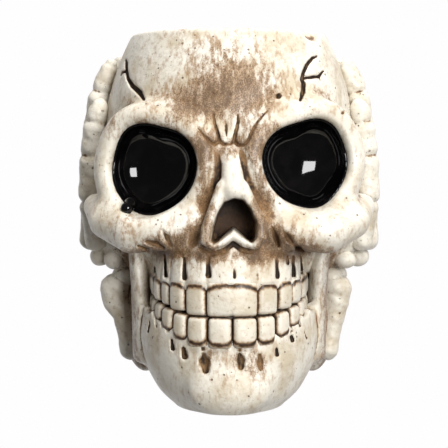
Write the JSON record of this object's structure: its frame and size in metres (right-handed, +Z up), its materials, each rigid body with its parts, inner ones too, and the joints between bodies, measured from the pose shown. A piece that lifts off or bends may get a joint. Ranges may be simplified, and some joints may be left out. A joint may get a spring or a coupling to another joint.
{
  "type": "bubbling ornament",
  "caption": "Open-crowned skull ornament with skeletal hands over its ears; a lift-out air stone in its bowl, fed from a pipe at the back, sends up bubbles.",
  "frame": {"origin": "centre of the flat base the ornament stands on, under the middle of the head", "axes": "+Z up, the face looks along -Y, the skull's own left side is +X"},
  "size_m": [0.0968, 0.1006, 0.115],
  "materials": {
    "cast_bone": "cast polyresin, antique ivory with a brown wash in its recesses",
    "tooth_bone": "cast polyresin, light ivory, brown between the teeth",
    "hand_bone": "cast polyresin, antique ivory with brown joints",
    "eye_gloss": "poured black gloss resin",
    "clear_pipe": "clear acrylic",
    "silicone": "milky silicone",
    "stem_plastic": "moulded black",
    "porous_stone": "bonded blue-grey mineral grains"
  },
  "bodies": {
    "root": {"air_pipe": "clear_pipe", "coupling_sleeve": "silicone", "left_eye_gloss": "eye_gloss", "left_forearm_radius": "hand_bone", "left_forearm_ulna": "hand_bone", "left_index_finger": "hand_bone", "left_index_palm_bone": "hand_bone", "left_little_finger": "hand_bone", "left_little_palm_bone": "hand_bone", "left_middle_finger": "hand_bone", "left_middle_palm_bone": "hand_bone", "left_ring_finger": "hand_bone", "left_ring_palm_bone": "hand_bone", "left_thumb": "hand_bone", "left_wrist_bones": "hand_bone", "lower_teeth": "tooth_bone", "mandible": "cast_bone", "right_eye_gloss": "eye_gloss", "right_forearm_radius": "hand_bone", "right_forearm_ulna": "hand_bone", "right_index_finger": "hand_bone", "right_index_palm_bone": "hand_bone", "right_little_finger": "hand_bone", "right_little_palm_bone": "hand_bone", "right_middle_finger": "hand_bone", "right_middle_palm_bone": "hand_bone", "right_ring_finger": "hand_bone", "right_ring_palm_bone": "hand_bone", "right_thumb": "hand_bone", "right_wrist_bones": "hand_bone", "skull_casting": "cast_bone", "upper_teeth": "tooth_bone"},
    "stone": {"air_stone": "porous_stone", "stone_stem": "stem_plastic"}
  },
  "joints": [
    {"name": "stone_lift", "type": "slide", "parent": "root", "child": "stone", "axis": [0, 0, 1], "range_m": [0, 0.072]}
  ]
}
